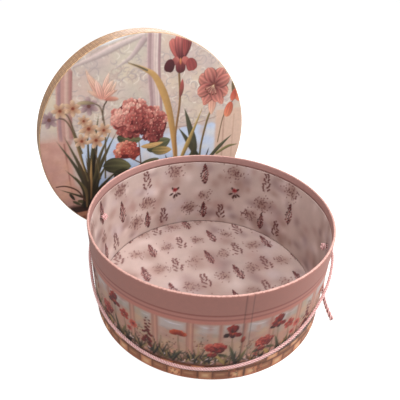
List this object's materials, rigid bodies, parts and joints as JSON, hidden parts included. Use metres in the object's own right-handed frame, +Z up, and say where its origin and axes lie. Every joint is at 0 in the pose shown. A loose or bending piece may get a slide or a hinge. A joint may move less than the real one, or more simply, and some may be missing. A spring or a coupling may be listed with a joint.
{
  "type": "round hat box",
  "caption": "Round rigid-board hat box covered in printed paper, its lift-off lid stood on edge behind it, with a twisted cord to carry it by.",
  "frame": {"origin": "on the box's axis, on the underside of its base, in the plane that the box and the lid stand on", "axes": "+Z up along the box's axis; the lid stands behind the box with its face towards -Y, so -Y is the open side to look from and +X is to the right"},
  "size_m": [0.4468, 0.4588, 0.4148],
  "materials": {
    "greyboard": "raw grey-brown millboard",
    "printed_wrap": "satin paper printed with a dusty pink band, windows, a border of flowers and a woven band",
    "lining_paper": "matt mottled mauve-grey paper with small dark sprigs",
    "kraft_paper": "matt brown paper",
    "printed_face": "satin paper printed with garden flowers against pale lace",
    "gold_rim_paper": "satin paper printed as woven straw",
    "cord_yarn": "pink rayon yarn in a three-ply twist"
  },
  "bodies": {
    "box": {"wall_board": "greyboard", "base_board": "greyboard", "wrap_paper": "printed_wrap", "wall_lining": "lining_paper", "floor_lining": "lining_paper", "base_cover": "kraft_paper", "cord_tail": "cord_yarn", "cord_knot_right": "cord_yarn"},
    "lid": {"lid_top_board": "greyboard", "lid_rim_board": "greyboard", "lid_rim_paper": "gold_rim_paper", "lid_face_paper": "printed_face", "lid_rim_lining": "lining_paper", "lid_top_lining": "lining_paper"},
    "cord": {"carry_cord": "cord_yarn", "cord_knot_left": "cord_yarn"}
  },
  "joints": [
    {"name": "lid_lift", "type": "slide", "parent": "box", "child": "lid", "axis": [0, 0, 1], "range_m": [0, 0.2]},
    {"name": "cord_swing", "type": "hinge", "parent": "box", "child": "cord", "pos_m": [0, 0, 0.122], "axis": [-0.8192, 0.5736, 0], "range_deg": [0, 115]}
  ]
}
